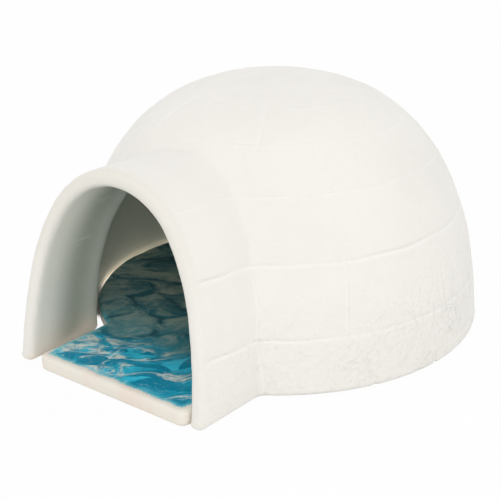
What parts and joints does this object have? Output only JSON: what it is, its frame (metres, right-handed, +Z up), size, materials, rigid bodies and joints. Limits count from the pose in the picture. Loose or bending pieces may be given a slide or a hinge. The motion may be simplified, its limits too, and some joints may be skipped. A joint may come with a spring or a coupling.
{
  "type": "rodent igloo",
  "caption": "Glazed ceramic igloo house for a small rodent: a hollow dome of snow blocks with an arched entrance tunnel, standing over a loose ice-glazed floor plate.",
  "frame": {"origin": "on the floor at the dome's axis", "axes": "+Z up along the dome's axis, -Y out of the entrance tunnel, +X to the right of someone facing +Y"},
  "size_m": [0.164, 0.184, 0.097],
  "materials": {
    "white_glaze": "satin warm white glaze",
    "ice_glaze": "gloss turquoise ice glaze on a cream body"
  },
  "bodies": {
    "root": {"igloo_shell": "white_glaze", "floor_plate": "ice_glaze"}
  },
  "joints": []
}
